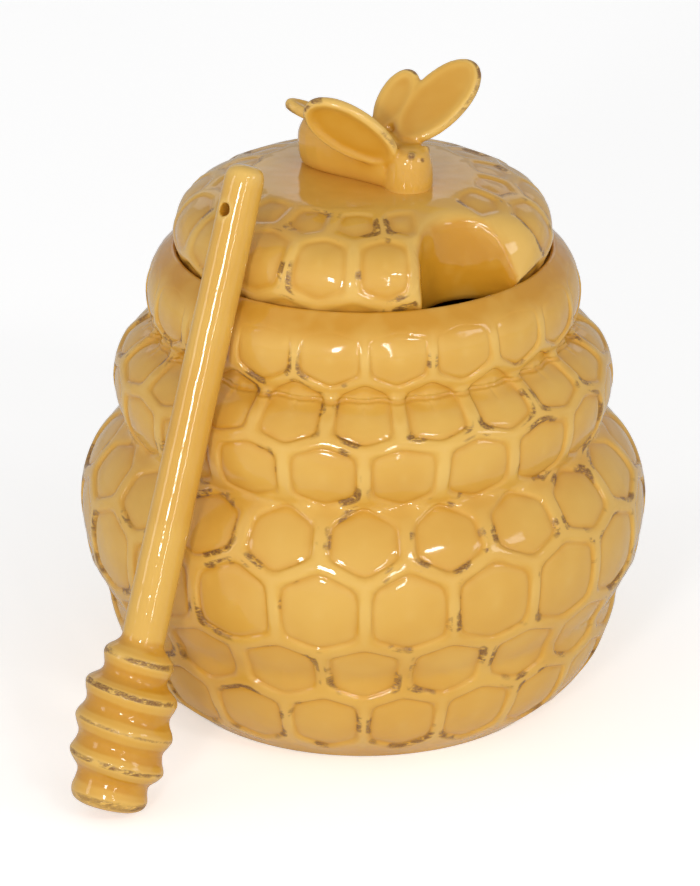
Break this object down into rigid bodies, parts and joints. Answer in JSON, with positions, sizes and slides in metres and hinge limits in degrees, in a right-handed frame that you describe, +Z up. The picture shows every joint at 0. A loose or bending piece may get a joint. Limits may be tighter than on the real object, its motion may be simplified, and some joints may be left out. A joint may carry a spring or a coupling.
{
  "type": "lidded honey pot with dipper",
  "caption": "Tiered beehive-shaped ceramic honey pot with a notched drop-in lid, a bee as the lid's knob, and a ringed honey dipper leaning against its side.",
  "frame": {"origin": "centre of the pot's flat foot, on the table", "axes": "+Z up along the pot's axis, -Y towards the front, +X to the right seen from the front; the dipper leans on the front left and the lid's notch is at the front right"},
  "size_m": [0.135, 0.1506, 0.1564],
  "materials": {
    "honey_glaze": "glossy honey-yellow glaze that pools amber in the hollows, with brown rubbed into the relief"
  },
  "bodies": {
    "pot": {"pot": "honey_glaze"},
    "lid": {"lid": "honey_glaze", "bee_body": "honey_glaze", "bee_head": "honey_glaze", "fore_wing_left": "honey_glaze", "hind_wing_left": "honey_glaze", "fore_wing_right": "honey_glaze", "hind_wing_right": "honey_glaze"},
    "dipper": {"dipper": "honey_glaze"}
  },
  "joints": [
    {"name": "lid_lift", "type": "slide", "parent": "pot", "child": "lid", "axis": [0.2487, 0.3218, 0.9135], "range_m": [0, 0.06]},
    {"name": "dipper_lift", "type": "slide", "parent": "pot", "child": "dipper", "axis": [-0.493, -0.6542, 0.5736], "range_m": [0, 0.09]}
  ]
}
